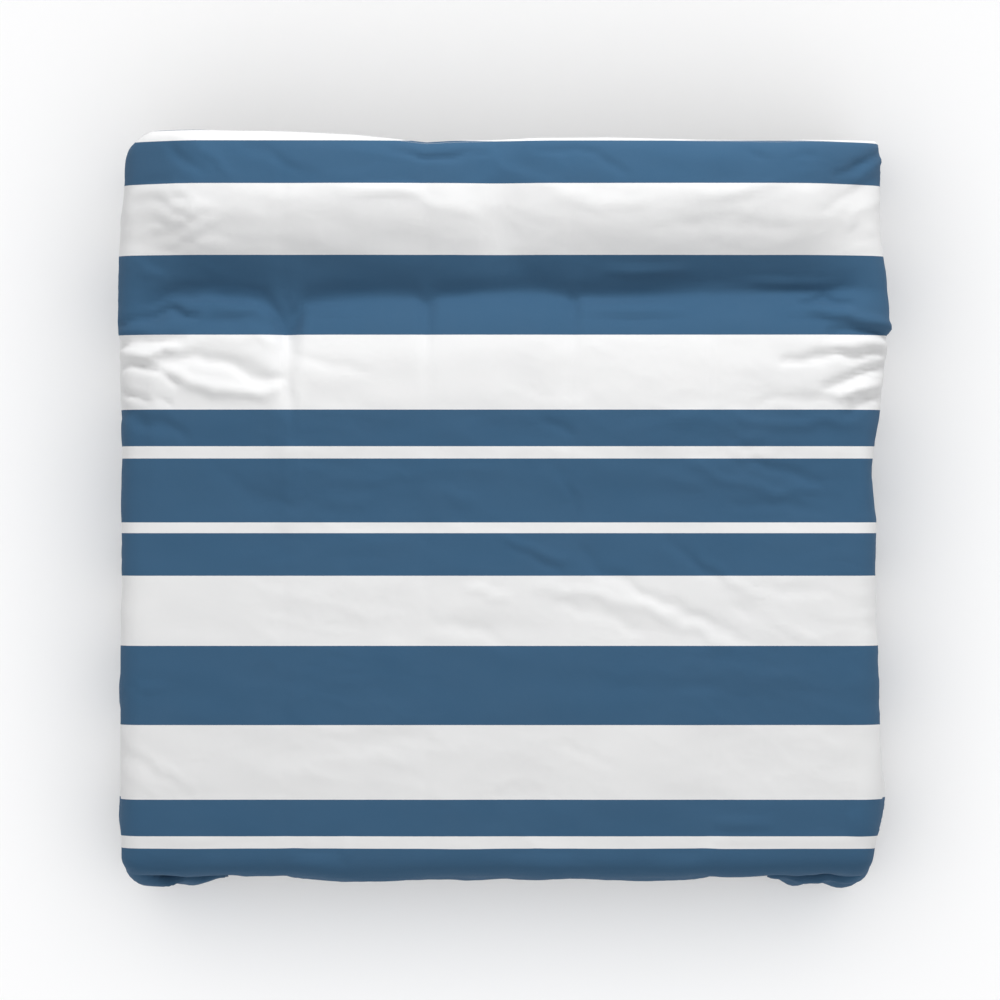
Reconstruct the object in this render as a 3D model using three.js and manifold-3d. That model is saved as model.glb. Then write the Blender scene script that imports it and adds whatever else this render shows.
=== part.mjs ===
// A king-size duvet, lying as it does over a mattress and a row of pillows: a printed cover with a
// zip along its foot edge, and a box-stitched insert that is tied into the cover's corners.
// Millimetres, +Z up, +Y towards the head of the bed. The origin is where the middle of the
// mattress top meets the cover's underside.
//
// Soft pieces are laid out on the flat cover first, as u across it from its middle and v along it
// from its head edge, and then bent over the bed by one shared middle surface.
import * as THREE from "three";
import { mergeVertices } from "three/addons/utils/BufferGeometryUtils.js";
import Module from "manifold-3d";

// Flat sizes of the cover and the insert
const coverWidth = 2640;
const coverLength = 2240;
const insertInset = 22; // the insert's edge lies this far inside the cover's
const boxColumns = 7;
const boxRows = 5;
const stitchGap = 8; // between the fill of two neighbouring boxes

// The bed that it lies on
const bedWidth = 1930;
const bedLength = 2030;
const bedEdgeRadius = 22;
const footSlack = 33; // how far the foot drop hangs clear of the mattress end
const headBare = 127; // mattress left uncovered at the head
const pillowHeight = 130;
const headDrop = 23; // how far the duvet's head edge hangs below the pillows' highest line
const pillowMiddle = 265; // from the mattress's head end to the pillows' highest line
const pillowEnd = 585; // from the mattress's head end to where the duvet is flat again
const pillowFlatHalf = 780; // the pillows keep their height to here, each side of the middle
const pillowGoneHalf = 1050;

// Heights above and below the middle surface
const thickness = 36;
const clothThickness = 1;
const casingThickness = 0.8;
const layerGap = 1.5; // between the cover and the insert
const fillGap = 3.5; // between the insert's casing and its filling
const crownWidth = 60; // a soft edge reaches its full height this far in
const seamHalf = 1.6;
const casingEdgeHalf = 3;
const fillEdgeHalf = 1.6;
const clearance = 0.3;
const clothClearance = 1;

// Binding, ties, loops and label
const bindingWidth = 2.2;
const bindingHalf = 3;
const tapeWidth = 12;
const loopWidth = 10;
const tapeGap = 2.5; // between the binding and a tie or loop
const tapeThickness = 0.8;
const tieLength = 100;
const loopLength = 24;
const label = { across: 34, along: 13, thickness: 0.5, inset: 2 };

// Zip
const zipLength = 1600;
const zipMargin = 20; // the cover's edge stays open this far past the zip
const zipBlend = 60; // and then closes to a plain seam over this length
const zipTape = { flange: 12, thickness: 0.8, inner: 0.9, margin: 1.2 };
const coil = { inner: 0.8, width: 2.4, height: 2.3 };
const slider = { length: 12, plate: 1.2, side: 1.1, post: 1, postLength: 4, nose: 3, rest: 2 };
const bail = { half: 4.4, bar: 1.2, leg: 1, width: 2, opening: 3.5 };
const pull = { bar: 1.4, gap: 0.4, rail: 1.5, length: 26, tip: 3.4 };
const stop = { length: 5, plate: 0.9, side: 0.8 };

const middle = thickness / 2;
const casingHalf = middle - clothThickness - layerGap;
const fillHalf = casingHalf - casingThickness - fillGap;
const zipTapeOuter = coil.inner + coil.width + zipTape.margin;
const zipOpenHalf = zipTapeOuter + 2 * clearance + clothThickness;
const zipOpenEnd = zipLength / 2 + zipMargin;
const rollRadius = bedEdgeRadius + middle;
const foldX = bedWidth / 2 - bedEdgeRadius;
const foldY = -(bedLength / 2 - bedEdgeRadius + footSlack);
const headY = bedLength / 2 - headBare;
const rollArc = (rollRadius * Math.PI) / 2;
const { smoothstep } = THREE.MathUtils;

// The lengthwise line of the middle surface, from the head edge over the pillows to the foot fold.
const crestY = bedLength / 2 - pillowMiddle;
const crestZ = middle + pillowHeight;
const valleyY = bedLength / 2 - pillowEnd;
const lengthwise = new THREE.Path();
lengthwise.moveTo(headY, crestZ - headDrop);
lengthwise.bezierCurveTo(
  crestY + 0.7 * (headY - crestY), crestZ - headDrop / 4,
  crestY + 0.3 * (headY - crestY), crestZ,
  crestY, crestZ,
);
lengthwise.bezierCurveTo(
  crestY + 0.4 * (valleyY - crestY), crestZ,
  crestY + 0.72 * (valleyY - crestY), middle,
  valleyY, middle,
);
lengthwise.lineTo(foldY, middle);
const foldV = lengthwise.getLength();
const valleyV = foldV - (valleyY - foldY);

// How far the cloth has gone out and down, a distance past a fold line.
function roll(distance) {
  const angle = Math.min(distance / rollRadius, Math.PI / 2);
  return {
    out: rollRadius * Math.sin(angle),
    down: rollRadius * (1 - Math.cos(angle)) + Math.max(0, distance - rollArc),
  };
}

// A point of the middle surface. Past both fold lines the cloth turns round the bed's corner.
function surface(u, v) {
  const side = Math.max(0, Math.abs(u) - foldX);
  const foot = Math.max(0, v - foldV);
  const top = lengthwise.getPoint(Math.min(v, foldV) / foldV);
  const { out, down } = roll((side ** 4 + foot ** 4) ** 0.25);
  const turn = Math.atan2(foot, side);
  const rise = (top.y - middle) * (1 - smoothstep(Math.abs(u), pillowFlatHalf, pillowGoneHalf));
  return new THREE.Vector3(
    Math.sign(u) * (Math.min(Math.abs(u), foldX) + out * Math.cos(turn)),
    top.x - out * Math.sin(turn),
    middle + rise - down,
  );
}

function surfaceNormal(u, v) {
  const step = 0.5;
  const across = surface(u + step, v).sub(surface(u - step, v));
  const along = surface(u, v + step).sub(surface(u, Math.max(0, v - step)));
  return along.cross(across).normalize();
}

const steps = (from, to, count) =>
  Array.from({ length: count + 1 }, (_, i) => from + ((to - from) * i) / count);
const sorted = (values) =>
  [...values].sort((a, b) => a - b).filter((x, i, all) => i === 0 || x - all[i - 1] > 1e-6);
const mirrored = (values) => sorted([...values, ...values.map((x) => -x)]);
const spaced = (from, to, widest) => steps(from, to, Math.ceil((to - from) / widest));

// Lines of the flat cover where the middle surface is worked out. It is straight between them.
const foldSteps = 3;
const widestCell = 80; // wherever the surface curves
const edgeSteps = [0, insertInset, crownWidth, insertInset + crownWidth];
const acrossLines = mirrored([
  zipOpenEnd,
  zipOpenEnd + zipBlend,
  ...steps(foldX, foldX + rollArc, foldSteps),
  ...spaced(foldX + rollArc, coverWidth / 2 - insertInset - crownWidth, widestCell),
  ...edgeSteps.map((inset) => coverWidth / 2 - inset),
]);
const alongLines = sorted([
  ...edgeSteps,
  ...spaced(insertInset + crownWidth, valleyV, widestCell),
  ...steps(foldV, foldV + rollArc, foldSteps),
  ...spaced(foldV + rollArc, coverLength - insertInset - crownWidth, widestCell),
  ...edgeSteps.map((inset) => coverLength - inset),
]);
const frames = acrossLines.map((u) =>
  alongLines.map((v) => ({ point: surface(u, v), normal: surfaceNormal(u, v) })),
);

function cellOf(lines, value) {
  const next = lines.findIndex((x) => x > value);
  const i = next < 1 ? (next === 0 ? 0 : lines.length - 2) : next - 1;
  return [i, (value - lines[i]) / (lines[i + 1] - lines[i])];
}

// The point that stands a height off the middle surface, above (u, v) of the flat cover.
function place(u, v, height) {
  const [i, s] = cellOf(acrossLines, u);
  const [j, t] = cellOf(alongLines, v);
  const result = new THREE.Vector3();
  for (const [frame, share] of [
    [frames[i][j], (1 - s) * (1 - t)],
    [frames[i + 1][j], s * (1 - t)],
    [frames[i][j + 1], (1 - s) * t],
    [frames[i + 1][j + 1], s * t],
  ]) {
    result.addScaledVector(frame.point, share).addScaledVector(frame.normal, share * height);
  }
  return result;
}

function closedMesh(points, faces) {
  const geometry = new THREE.BufferGeometry();
  geometry.setAttribute("position", new THREE.Float32BufferAttribute(points, 3));
  geometry.setIndex(faces);
  geometry.computeVertexNormals();
  return geometry;
}

// A closed piece of cloth or filling over a grid of the flat cover, between two heights.
function slab(across, along, low, high) {
  const points = [];
  const faces = [];
  for (const height of [low, high]) {
    for (const u of across) {
      for (const v of along) {
        points.push(...place(u, v, height(u, v)).toArray());
      }
    }
  }
  const [nu, nv] = [across.length, along.length];
  const at = (layer, i, j) => (layer * nu + i) * nv + j;
  for (let i = 0; i < nu - 1; i++) {
    for (let j = 0; j < nv - 1; j++) {
      const [a, b, c, d] = [at(0, i, j), at(0, i + 1, j), at(0, i + 1, j + 1), at(0, i, j + 1)];
      const up = nu * nv;
      faces.push(a, c, d, a, b, c);
      faces.push(a + up, d + up, c + up, a + up, c + up, b + up);
    }
  }
  const [is, js] = [steps(0, nu - 1, nu - 1), steps(0, nv - 1, nv - 1)];
  const rim = [
    ...js.map((j) => [0, j]),
    ...is.slice(1).map((i) => [i, nv - 1]),
    ...js.toReversed().slice(1).map((j) => [nu - 1, j]),
    ...is.toReversed().slice(1).map((i) => [i, 0]),
  ];
  rim.slice(1).forEach(([i, j], k) => {
    const [lowA, lowB] = [at(0, ...rim[k]), at(0, i, j)];
    const [highA, highB] = [at(1, ...rim[k]), at(1, i, j)];
    faces.push(lowA, lowB, highB, lowA, highB, highA);
  });
  return closedMesh(points, faces);
}

// The grid lines of a rectangle of the flat cover: the shared lines inside it, its own edges, and
// lines a crown's width in from them.
function gridLines(shared, from, to) {
  const inset = Math.min(crownWidth, (to - from) / 3);
  const own = [from, from + inset, to - inset, to];
  const near = (x) => own.some((line) => Math.abs(x - line) < stitchGap / 2);
  const inside = shared.filter((x) => x > from && x < to && !near(x));
  return sorted([...own, ...inside]);
}

const crown = (distance, edge, full) => edge + (full - edge) * smoothstep(distance, 0, crownWidth);

function edgeDistance(u, v, inset) {
  return Math.min(coverWidth / 2 - Math.abs(u), v, coverLength - v) - inset;
}

// Half the height between the cover's outer faces. Its foot edge stands open round the zip.
function coverHalf(u, v) {
  const pastZip = smoothstep(Math.abs(u), zipOpenEnd, zipOpenEnd + zipBlend);
  const open = THREE.MathUtils.lerp(zipOpenHalf, seamHalf, pastZip);
  const atFoot = coverLength - v <= edgeDistance(u, v, 0) + 1e-6;
  return crown(edgeDistance(u, v, 0), atFoot ? open : seamHalf, middle);
}

const casingTop = (u, v) => crown(edgeDistance(u, v, insertInset), casingEdgeHalf, casingHalf);

function coverPanels() {
  const inner = (u, v) => coverHalf(u, v) - clothThickness;
  return {
    cover_face: slab(acrossLines, alongLines, inner, coverHalf),
    cover_back: slab(
      acrossLines, alongLines, (u, v) => -coverHalf(u, v), (u, v) => -inner(u, v),
    ),
  };
}

function insertCasing() {
  const half = coverWidth / 2 - insertInset;
  const across = acrossLines.filter((u) => Math.abs(u) <= half);
  const along = alongLines.filter((v) => v >= insertInset && v <= coverLength - insertInset);
  const inner = (u, v) => casingTop(u, v) - casingThickness;
  return {
    insert_face: slab(across, along, inner, casingTop),
    insert_back: slab(across, along, (u, v) => -casingTop(u, v), (u, v) => -inner(u, v)),
    insert_binding: binding(across, along),
  };
}

// A flat tape right round the insert's edge, closed on itself.
function binding(across, along) {
  const outline = (inset) => {
    const half = coverWidth / 2 - inset;
    const clampU = (u) => THREE.MathUtils.clamp(u, -half, half);
    const clampV = (v) => THREE.MathUtils.clamp(v, inset, coverLength - inset);
    const inwardU = across.slice(1, -1);
    const inwardV = along.slice(1, -1);
    return [
      [-half, inset],
      ...inwardV.map((v) => [-half, clampV(v)]),
      [-half, coverLength - inset],
      ...inwardU.map((u) => [clampU(u), coverLength - inset]),
      [half, coverLength - inset],
      ...inwardV.map((v) => [half, clampV(v)]).reverse(),
      [half, inset],
      ...inwardU.map((u) => [clampU(u), inset]).reverse(),
    ];
  };
  const outer = outline(insertInset - clothClearance - bindingWidth);
  const inner = outline(insertInset - clothClearance);
  const rings = [
    outer.map(([u, v]) => place(u, v, -bindingHalf)),
    outer.map(([u, v]) => place(u, v, bindingHalf)),
    inner.map(([u, v]) => place(u, v, bindingHalf)),
    inner.map(([u, v]) => place(u, v, -bindingHalf)),
  ];
  const count = outer.length;
  const points = rings.flat().flatMap((p) => p.toArray());
  const faces = [];
  rings.forEach((_, r) => {
    for (let k = 0; k < count; k++) {
      const [a, b] = [r * count + k, r * count + ((k + 1) % count)];
      const next = (((r + 1) % rings.length) - r) * count;
      faces.push(a, b, b + next, a, b + next, a + next);
    }
  });
  return closedMesh(points, faces);
}

function fillBoxes() {
  const boxWidth = coverWidth / boxColumns;
  const boxLength = coverLength / boxRows;
  const margin = insertInset + stitchGap;
  const made = {};
  for (let row = 0; row < boxRows; row++) {
    for (let column = 0; column < boxColumns; column++) {
      const left = Math.max(column * boxWidth + stitchGap / 2, margin) - coverWidth / 2;
      const right =
        Math.min((column + 1) * boxWidth - stitchGap / 2, coverWidth - margin) - coverWidth / 2;
      const head = Math.max(row * boxLength + stitchGap / 2, margin);
      const foot = Math.min((row + 1) * boxLength - stitchGap / 2, coverLength - margin);
      const half = (u, v) =>
        crown(Math.min(u - left, right - u, v - head, foot - v), fillEdgeHalf, fillHalf);
      made[`fill_r${row + 1}_c${column + 1}`] = slab(
        gridLines(acrossLines, left, right),
        gridLines(alongLines, head, foot),
        (u, v) => -half(u, v),
        half,
      );
    }
  }
  return made;
}

// A short flat tape on the middle surface, over a rectangle of the flat cover.
function tape(u, v, across, along, thick) {
  return slab(
    [u - across / 2, u + across / 2],
    steps(v - along / 2, v + along / 2, 2),
    () => -thick / 2,
    () => thick / 2,
  );
}

// Each corner has a tie sewn into the cover's side seam and a loop on the insert's end binding.
function cornerTapes() {
  const border = insertInset - clothClearance - bindingWidth - tapeGap;
  const made = {};
  for (const [end, edge, inward] of [["head", 0, 1], ["foot", coverLength, -1]]) {
    for (const [side, sign] of [["left", -1], ["right", 1]]) {
      const tieU = sign * (coverWidth / 2 - border + tapeWidth / 2);
      const tieV = edge + inward * (border - tapeWidth + tieLength / 2);
      made[`tie_${end}_${side}`] = tape(tieU, tieV, tapeWidth, tieLength, tapeThickness);
      const loopU = sign * (coverWidth / 2 - insertInset - tapeWidth - loopLength / 2);
      const loopV = edge + inward * (border - loopWidth / 2);
      made[`loop_${end}_${side}`] = tape(loopU, loopV, loopLength, loopWidth, tapeThickness);
    }
  }
  return made;
}

function careLabel() {
  const u = -(zipOpenEnd + zipBlend / 2);
  const v = coverLength - label.inset - label.along / 2;
  return tape(u, v, label.across, label.along, label.thickness);
}

// The zip is drawn at the origin, with +Z into the cover and Y across the opening, and then set
// along the foot edge.
const hem = place(0, coverLength, 0);
const sliderHome = zipLength / 2 - stop.length - slider.length / 2 - slider.rest;
const coilTop = -zipTape.thickness - clearance;
const coilBottom = coilTop - coil.height;
const coilSide = coil.inner + coil.width + clearance;
const outerPlateTop = coilBottom - clearance;
const outerPlateBottom = outerPlateTop - slider.plate;
const bailInside = outerPlateBottom - bail.opening;
const pullAxis = bailInside + pull.gap + pull.bar / 2;
const pullEye = Math.hypot(bail.half, pullAxis - bailInside + bail.bar) + clearance;

// Turns a shape that was drawn as y and z, and extruded, so that it lies along x.
const alongX = new THREE.Matrix4().set(0, 0, 1, 0, 1, 0, 0, 0, 0, 1, 0, 0, 0, 0, 0, 1);

// A block between x, y and z limits.
function block([x0, x1], [y0, y1], [z0, z1]) {
  const geometry = new THREE.BoxGeometry(x1 - x0, y1 - y0, z1 - z0);
  return geometry.translate((x0 + x1) / 2, (y0 + y1) / 2, (z0 + z1) / 2);
}

// A length of zip tape: a flange sewn inside the cover's edge, and a ledge that carries the coil.
function zipTapeHalf(sign) {
  const { inner, thickness: thick, flange } = zipTape;
  const flangeInside = zipTapeOuter - thick;
  const outline = [
    [zipTapeOuter, flange], [zipTapeOuter, -thick], [inner, -thick],
    [inner, 0], [flangeInside, 0], [flangeInside, flange],
  ];
  const ends = sign > 0 ? outline.reverse() : outline;
  const shape = new THREE.Shape(ends.map(([y, z]) => new THREE.Vector2(sign * y, z)));
  const geometry = new THREE.ExtrudeGeometry(shape, { depth: zipLength, bevelEnabled: false });
  return geometry.applyMatrix4(alongX).translate(-zipLength / 2, 0, 0);
}

function zipCoilHalf(sign) {
  const sides = [sign * coil.inner, sign * (coil.inner + coil.width)].sort((a, b) => a - b);
  return block([-zipLength / 2, zipLength / 2], sides, [coilBottom, coilTop]);
}

const wasm = await Module();
wasm.setup();

function solidOf(geometry) {
  const bare = geometry.index ? geometry.toNonIndexed() : geometry.clone();
  bare.deleteAttribute("normal");
  bare.deleteAttribute("uv");
  const merged = mergeVertices(bare, 1e-4);
  return new wasm.Manifold(
    new wasm.Mesh({
      numProp: 3,
      vertProperties: merged.attributes.position.array,
      triVerts: new Uint32Array(merged.index.array),
    }),
  );
}

function joined(geometries) {
  const solid = geometries.map(solidOf).reduce((a, b) => a.add(b));
  const { vertProperties, triVerts } = solid.getMesh();
  return closedMesh(Array.from(vertProperties), Array.from(triVerts));
}

// A flat plate in X and Y, with its far end rounded off.
function noseplate(length, half, [z0, z1], nose) {
  const shape = new THREE.Shape();
  shape.moveTo(-length / 2, -half);
  shape.lineTo(length / 2 - nose, -half);
  shape.quadraticCurveTo(length / 2, -half, length / 2, 0);
  shape.quadraticCurveTo(length / 2, half, length / 2 - nose, half);
  shape.lineTo(-length / 2, half);
  const settings = { depth: z1 - z0, bevelEnabled: false, curveSegments: 5 };
  return new THREE.ExtrudeGeometry(shape, settings).translate(0, 0, z0);
}

// Two plates joined by a post that runs between the coils, and a bail that holds the pull.
function zipSlider() {
  const { length, plate, post, postLength, nose } = slider;
  const innerHalf = zipTapeOuter - zipTape.thickness - clearance;
  const reach = coilSide + slider.side;
  const overlap = 0.1;
  const plates = [
    noseplate(length, reach, [outerPlateBottom, outerPlateTop], nose),
    noseplate(length, innerHalf, [clearance, clearance + plate], nose),
  ];
  const postEnds = [length / 2 - nose / 2 - postLength, length / 2 - nose / 2];
  const postPart = block(
    postEnds, [-post / 2, post / 2], [outerPlateTop - overlap, clearance + overlap],
  );
  const sides = [-1, 1].map((sign) => {
    const limits = [sign * coilSide, sign * reach].sort((a, b) => a - b);
    return block([-length / 2, length / 2 - nose], limits, [outerPlateTop - overlap, coilTop]);
  });
  const legs = [-1, 1].map((sign) => {
    const limits = [sign * bail.half, sign * (bail.half - bail.leg)].sort((a, b) => a - b);
    return block(
      limits, [-bail.width / 2, bail.width / 2], [bailInside - overlap, outerPlateBottom + overlap],
    );
  });
  const bar = block(
    [-bail.half, bail.half],
    [-bail.width / 2, bail.width / 2],
    [bailInside - bail.bar, bailInside],
  );
  return joined([...plates, postPart, ...sides, ...legs, bar]);
}

// A tab that hangs from the bail by an eye.
function zipPull() {
  const { bar, gap, rail, length, tip } = pull;
  const eyeHalf = bail.width / 2 + gap;
  const half = eyeHalf + rail;
  const shape = new THREE.Shape();
  shape.moveTo(-half, bar / 2);
  shape.lineTo(-half, -pullEye - rail);
  shape.absarc(0, -length + tip, tip, Math.PI, 2 * Math.PI, false);
  shape.lineTo(half, -pullEye - rail);
  shape.lineTo(half, bar / 2);
  const hole = new THREE.Path();
  hole.moveTo(-eyeHalf, -bar / 2);
  hole.lineTo(eyeHalf, -bar / 2);
  hole.lineTo(eyeHalf, -pullEye);
  hole.lineTo(-eyeHalf, -pullEye);
  shape.holes.push(hole);
  const settings = { depth: bar, bevelEnabled: false, curveSegments: 8 };
  return new THREE.ExtrudeGeometry(shape, settings).translate(0, 0, -bar / 2).applyMatrix4(alongX);
}

// A clip that closes one end of the coils.
function zipStop() {
  const bottom = outerPlateTop - stop.plate;
  const base = block(
    [-stop.length / 2, stop.length / 2],
    [-coilSide - stop.side, coilSide + stop.side],
    [bottom, outerPlateTop],
  );
  const sides = [-1, 1].map((sign) => {
    const limits = [sign * coilSide, sign * (coilSide + stop.side)].sort((a, b) => a - b);
    return block([-stop.length / 2, stop.length / 2], limits, [bottom, coilTop]);
  });
  return joined([base, ...sides]);
}

const cloth = (color) => new THREE.MeshStandardMaterial({ color, roughness: 0.85, metalness: 0 });
const printedCloth = cloth(0x405f7c);
const whiteCloth = cloth(0xe6e6e6);
const casingCloth = cloth(0xf0efec);
const wadding = cloth(0xf6f5f2);
const twill = cloth(0xe2e0da);
const zipNylon = new THREE.MeshStandardMaterial({ color: 0xdcdcda, roughness: 0.5, metalness: 0 });
const zipMetal = new THREE.MeshStandardMaterial({ color: 0xb9babc, roughness: 0.3, metalness: 1 });

const duvet = new THREE.Group();
const zip = new THREE.Group();
zip.position.copy(hem);
duvet.add(zip);

function add(group, name, geometry, material, x = 0, z = 0) {
  const mesh = new THREE.Mesh(geometry, material);
  mesh.name = name;
  mesh.position.set(x, 0, z);
  group.add(mesh);
}

const { cover_face, cover_back } = coverPanels();
add(duvet, "cover_face", cover_face, printedCloth);
add(duvet, "cover_back", cover_back, whiteCloth);
for (const [name, geometry] of Object.entries(insertCasing())) {
  add(duvet, name, geometry, casingCloth);
}
for (const [name, geometry] of Object.entries(fillBoxes())) {
  add(duvet, name, geometry, wadding);
}
for (const [name, geometry] of Object.entries(cornerTapes())) {
  add(duvet, name, geometry, twill);
}
add(duvet, "care_label", careLabel(), whiteCloth);
add(zip, "zip_tape_face", zipTapeHalf(-1), twill);
add(zip, "zip_tape_back", zipTapeHalf(1), twill);
add(zip, "zip_coil_face", zipCoilHalf(-1), zipNylon);
add(zip, "zip_coil_back", zipCoilHalf(1), zipNylon);
add(zip, "zip_slider", zipSlider(), zipMetal, sliderHome);
add(zip, "zip_pull", zipPull(), zipMetal, sliderHome, pullAxis);
for (const [name, sign] of [["zip_stop_left", -1], ["zip_stop_right", 1]]) {
  add(zip, name, zipStop(), zipMetal, (sign * (zipLength - stop.length)) / 2);
}

export default duvet;
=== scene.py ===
import math

import bmesh
import bpy
import numpy as np
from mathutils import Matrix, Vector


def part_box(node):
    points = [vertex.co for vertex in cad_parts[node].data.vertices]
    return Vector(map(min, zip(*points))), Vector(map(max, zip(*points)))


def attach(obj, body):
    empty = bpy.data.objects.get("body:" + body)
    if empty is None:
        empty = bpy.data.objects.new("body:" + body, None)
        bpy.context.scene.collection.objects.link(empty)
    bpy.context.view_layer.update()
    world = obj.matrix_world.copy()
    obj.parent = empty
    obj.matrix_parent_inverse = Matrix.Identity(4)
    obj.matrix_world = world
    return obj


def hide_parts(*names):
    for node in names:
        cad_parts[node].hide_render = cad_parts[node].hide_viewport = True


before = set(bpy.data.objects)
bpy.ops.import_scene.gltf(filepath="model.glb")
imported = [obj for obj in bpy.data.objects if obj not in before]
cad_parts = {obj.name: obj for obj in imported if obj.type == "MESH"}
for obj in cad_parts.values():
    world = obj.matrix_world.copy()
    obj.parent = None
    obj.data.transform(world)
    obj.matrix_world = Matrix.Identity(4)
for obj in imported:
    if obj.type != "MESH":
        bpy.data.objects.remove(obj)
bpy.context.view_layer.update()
print("frame loaded")


# The bed's form and the duvet's flat size, in metres. u runs across the flat duvet from its middle,
# v along it from the head edge.

bed = {
    "halfWidth": 0.965, "halfLength": 1.015, "edgeRadius": 0.022, "footSlack": 0.033,
    "headBare": 0.127,
}

pillow = {
    "height": 0.13,
    "crest": 0.265,  # from the mattress's head end to the highest line
    "end": 0.585,  # and to where the duvet is flat again
    "headDrop": 0.014,
    "flatHalf": 0.78,
    "goneHalf": 1.05,
    "dip": 0.034,  # between the two pillows
    "dipHalf": 0.085,
}

duvet = {
    "width": 2.64,
    "length": 2.24,
    "loft": 0.018,  # half the full thickness
    "crown": 0.06,  # from the edge to the full loft
    "roundness": 2.2,
    "seam": 0.0008,
    "columns": 7,
    "rows": 5,
    "insertInset": 0.022,
}

pleat = {  # the spare cloth at each foot corner, folded on to the foot side
    "loft": 0.0088,
    "spacing": 0.0188,
    "bendShare": 0.85,  # radius of the turn on to the foot side, by how far the roll stands out
    "bendMore": 0.011,
    "topInset": 0.6,
    "foldInset": 0.006,
    "start": 0.087,  # depth at which the fold begins
    "startBlend": 0.03,
    "from": 0.60,  # the foot drop is pressed flat under it from here
    "to": 0.74,
    "deep": 0.16,
    "round": 0.035,  # the corner is round down to this depth
    "folded": 0.13,  # and wholly folded from this one
}

columnWidth = duvet["width"] / duvet["columns"]
rowLength = duvet["length"] / duvet["rows"]
loft = duvet["loft"]
foldX = bed["halfWidth"] - bed["edgeRadius"]
foldY = -(bed["halfLength"] - bed["edgeRadius"] + bed["footSlack"])
headY = bed["halfLength"] - bed["headBare"]
rollRadius = bed["edgeRadius"] + loft


def smooth(x, low, high):
    t = np.clip((x - low) / (high - low), 0, 1)
    return t * t * (3 - 2 * t)


def bell(x, width):
    return np.exp(-(x / width) ** 2)


def bezier(corners, count=80):
    t = np.linspace(0, 1, count)[:, None]
    a, b, c, d = (np.array(p) for p in corners)
    return (1 - t) ** 3 * a + 3 * (1 - t) ** 2 * t * b + 3 * (1 - t) * t ** 2 * c + t ** 3 * d


def lengthwiseLine():
    crestY = bed["halfLength"] - pillow["crest"]
    crestZ = loft + pillow["height"]
    valleyY = bed["halfLength"] - pillow["end"]
    fall = valleyY - crestY
    rise = headY - crestY
    over = bezier([
        (headY, crestZ - pillow["headDrop"]),
        (crestY + 0.7 * rise, crestZ - pillow["headDrop"] / 4),
        (crestY + 0.3 * rise, crestZ),
        (crestY, crestZ),
    ])
    down = bezier([
        (crestY, crestZ),
        (crestY + 0.4 * fall, crestZ),
        (crestY + 0.72 * fall, loft),
        (valleyY, loft),
    ])
    line = np.concatenate([over, down[1:], [(foldY, loft)]])
    steps = np.linalg.norm(np.diff(line, axis=0), axis=1)
    return np.concatenate([[0], np.cumsum(steps)]), line


lineLength, linePoints = lengthwiseLine()
foldV = lineLength[-1]


def alongBed(v):
    return np.interp(v, lineLength, linePoints[:, 0]), np.interp(v, lineLength, linePoints[:, 1])


def roll(distance):
    angle = np.minimum(distance / rollRadius, math.pi / 2)
    past = np.maximum(0, distance - rollRadius * math.pi / 2)
    return rollRadius * np.sin(angle), rollRadius * (1 - np.cos(angle)) + past


def roundCorner(a, b):
    rho = (a ** 4 + b ** 4) ** 0.25
    out, down = roll(rho)
    turn = np.arctan2(b, a)
    return foldX + out * np.cos(turn), foldY - out * np.sin(turn), loft - down


def foldedCorner(a, b):
    deep = np.maximum(np.maximum(a, b), 1e-5)
    k = smooth(deep, 0, pleat["deep"])
    out, down = roll(deep)
    r = np.maximum(k * pleat["spacing"] / 2, 1e-5)
    innerY = foldY - out
    outerY = innerY - 4 * r
    sideX = foldX + out
    bend = out * pleat["bendShare"] + 1e-4 + pleat["bendMore"] * k
    foldInX = foldX + out * (1 - k) * pleat["topInset"] + pleat["foldInset"] * k
    ahead = deep - pleat["start"]
    tipX = foldInX - (ahead + np.sqrt(ahead ** 2 + pleat["startBlend"] ** 2)) / 2
    toTip = [np.maximum(foldY - outerY - bend, 0), math.pi / 2 * bend, np.maximum(sideX - bend - tipX, 0)]
    toEnd = [math.pi * r, foldInX - tipX, math.pi * r, np.maximum(foldInX - foldX, 0)]
    first = sum(toTip) + math.pi / 2 * r
    second = sum(toEnd) - math.pi / 2 * r
    along = np.where(a >= b, first * b / deep, first + second * (1 - a / deep))
    places = [  # down the side, round to the foot side, out to the tip, back, and in again
        lambda s: (sideX, foldY - s),
        lambda s: (sideX - bend + bend * np.cos(s / bend), outerY + bend - bend * np.sin(s / bend)),
        lambda s: (sideX - bend - s, outerY),
        lambda s: (tipX - r * np.sin(s / r), outerY + r * (1 - np.cos(s / r))),
        lambda s: (tipX + s, outerY + 2 * r),
        lambda s: (foldInX + r * np.sin(s / r), outerY + 2 * r + r * (1 - np.cos(s / r))),
        lambda s: (foldInX - s, innerY),
    ]
    x, y = sideX, foldY
    at = np.zeros(a.shape)
    for length, place in zip(toTip + toEnd, places):
        partX, partY = place(along - at)
        x = np.where(along > at, partX, x)
        y = np.where(along > at, partY, y)
        at = at + length
    return x, y, loft - down


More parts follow.
